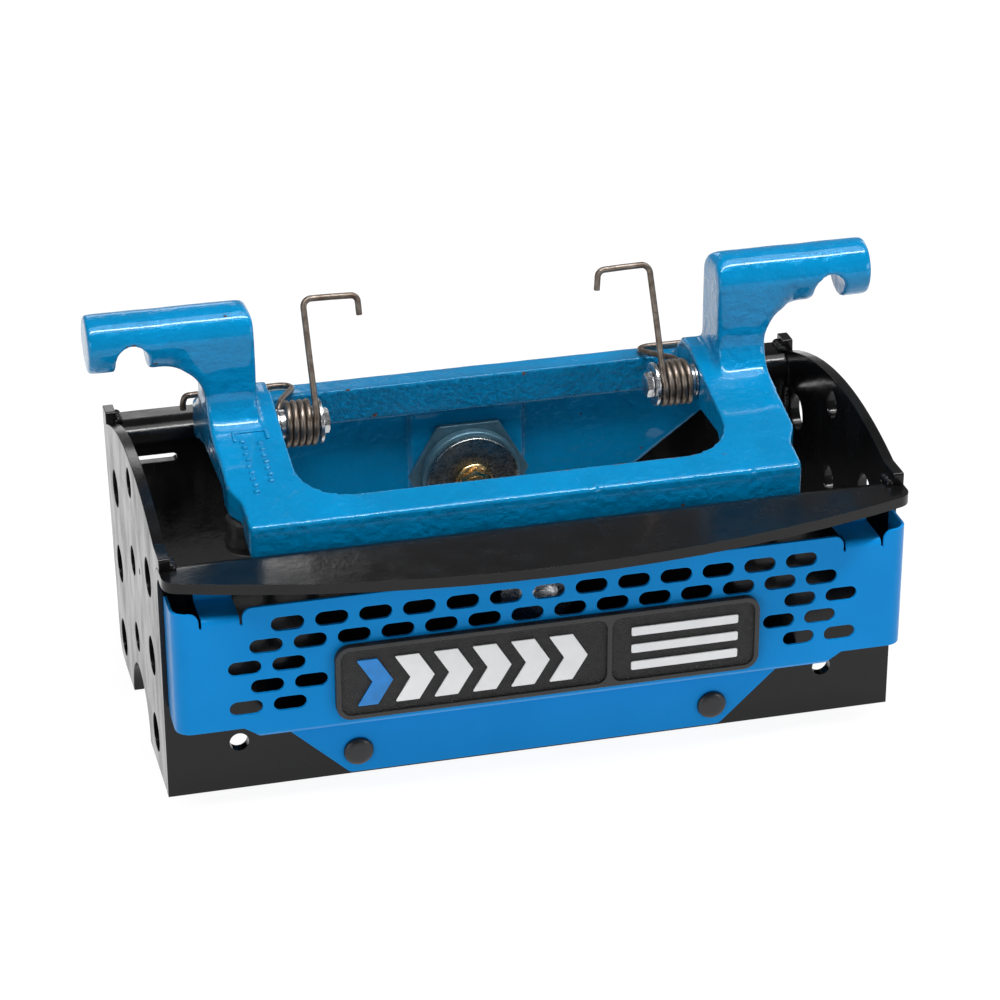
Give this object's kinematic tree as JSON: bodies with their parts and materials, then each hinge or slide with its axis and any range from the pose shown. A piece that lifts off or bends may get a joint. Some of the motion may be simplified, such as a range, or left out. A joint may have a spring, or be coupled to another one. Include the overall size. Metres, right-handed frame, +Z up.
{
  "type": "fifth wheel hitch",
  "caption": "Centre section of a fifth wheel hitch: black channel frame, grille cover and a tilting cast yoke with trunnions and torsion springs.",
  "frame": {"origin": "on the ground under the middle of the bounding box", "axes": "+X to the right of the truck bed across the hitch, +Y away from the grille cover, +Z up"},
  "size_m": [0.473, 0.2618, 0.2519],
  "materials": {
    "frame_black": "gloss black powder coat",
    "cover_blue": "satin blue powder coat on sheet steel",
    "casting_blue": "gloss blue paint over a sand-cast surface",
    "pivot_paint": "thin blue paint over machined steel",
    "nameplate_black": "fine leather grain",
    "plug_black": "moulded satin",
    "zinc": "bright zinc plate",
    "yellow_zinc": "yellow zinc plate",
    "spring_wire": "oiled spring steel",
    "rubber": "moulded rubber"
  },
  "bodies": {
    "frame": {"side_plate_left": "frame_black", "side_plate_right": "frame_black", "front_channel": "frame_black", "rear_channel": "frame_black", "grille_cover": "cover_blue", "nameplate": "nameplate_black", "push_plug_left": "plug_black", "push_plug_right": "plug_black", "front_pivot_washer": "zinc", "front_pivot_bolt": "zinc", "front_pivot_sleeve": "zinc", "front_pivot_inner_washer": "zinc", "front_pivot_nut": "zinc", "rear_pivot_hex": "pivot_paint", "rear_pivot_collar": "pivot_paint", "rear_pivot_washer": "zinc", "rear_pivot_bolt": "yellow_zinc", "rear_pivot_sleeve": "zinc", "rear_pivot_nut": "yellow_zinc"},
    "yoke": {"head_support": "casting_blue", "front_rubber_bushing": "rubber", "rear_rubber_bushing": "rubber", "spring_bolt_left": "zinc", "spring_bolt_right": "zinc", "spring_washer_left": "zinc", "spring_washer_right": "zinc", "spring_spacer_left": "zinc", "spring_spacer_right": "zinc", "spring_seat_washer_left": "zinc", "spring_seat_washer_right": "zinc", "torsion_spring_left": "spring_wire", "torsion_spring_right": "spring_wire", "bump_stop_left": "rubber", "bump_stop_right": "rubber"},
    "left_spring_arm": {"spring_leg_left": "spring_wire"},
    "right_spring_arm": {"spring_leg_right": "spring_wire"}
  },
  "joints": [
    {"name": "yoke_tilt", "type": "hinge", "parent": "frame", "child": "yoke", "pos_m": [0, 0.02765, 0.105], "axis": [0, 1, 0], "range_deg": [-4, 4], "stiffness_Nm_per_rad": 400},
    {"name": "left_spring_wind", "type": "hinge", "parent": "yoke", "child": "left_spring_arm", "pos_m": [-0.1057, 0.03865, 0.175], "axis": [1, 0, 0], "range_deg": [-30, 8], "stiffness_Nm_per_rad": 5.7},
    {"name": "right_spring_wind", "type": "hinge", "parent": "yoke", "child": "right_spring_arm", "pos_m": [0.1057, 0.03865, 0.175], "axis": [1, 0, 0], "range_deg": [-30, 8], "stiffness_Nm_per_rad": 5.7}
  ]
}
